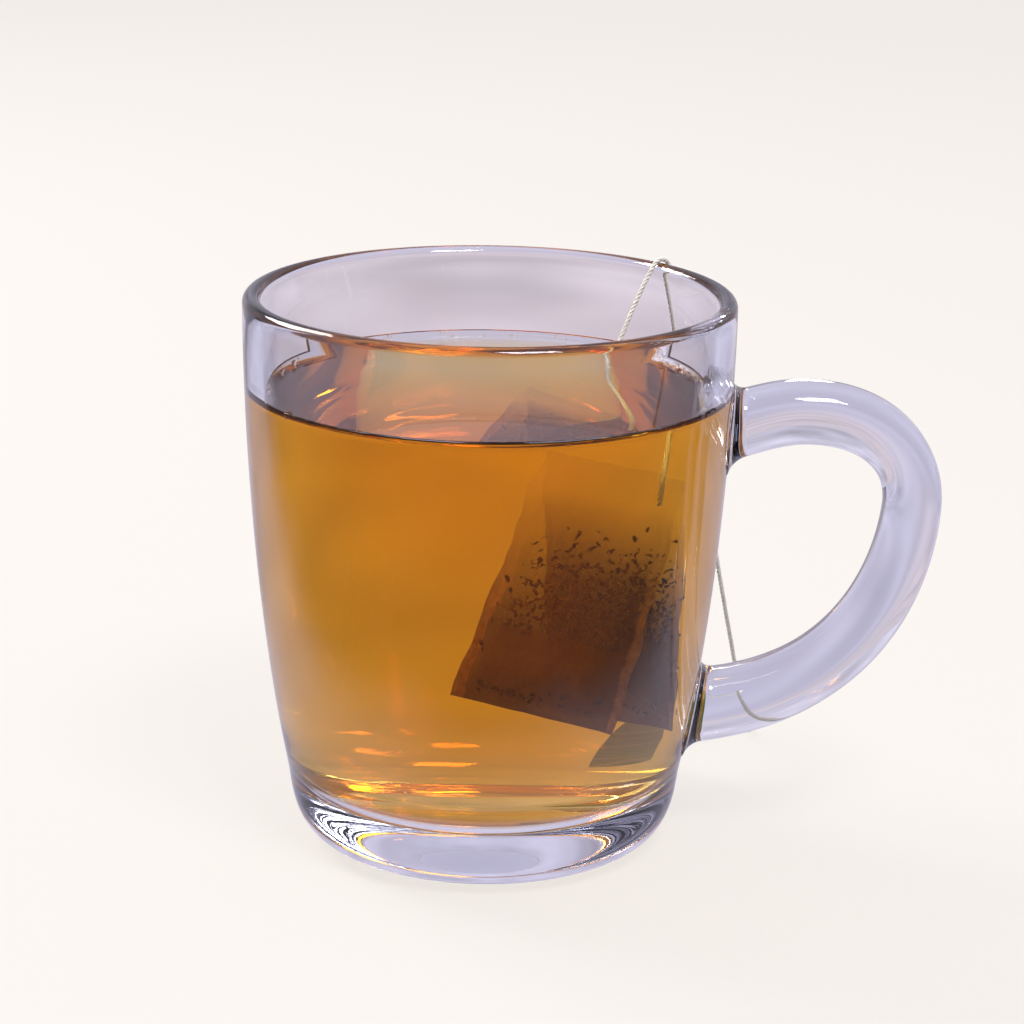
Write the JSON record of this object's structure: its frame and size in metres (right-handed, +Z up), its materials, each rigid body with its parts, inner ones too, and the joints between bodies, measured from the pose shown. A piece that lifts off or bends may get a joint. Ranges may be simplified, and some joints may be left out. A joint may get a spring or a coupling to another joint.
{
  "type": "glass mug of tea",
  "caption": "Clear glass mug with a loop handle, filled with amber tea; a cotton string from the sunken tea bag runs over the rim to a leaf-shaped paper tag.",
  "frame": {"origin": "centre of the mug's flat underside", "axes": "+Z up along the mug's axis, +X towards the handle, -Y towards the viewer"},
  "size_m": [0.1147, 0.0865, 0.0935],
  "materials": {
    "clear_glass": "clear smooth pressed glass with a cool tint",
    "tea": "clear amber liquid",
    "cotton_string": "twisted off-white cotton",
    "green_card": "matt green card"
  },
  "bodies": {
    "root": {"glass_mug": "clear_glass", "tea": "tea", "tea_string": "cotton_string", "tea_tag": "green_card"}
  },
  "joints": []
}
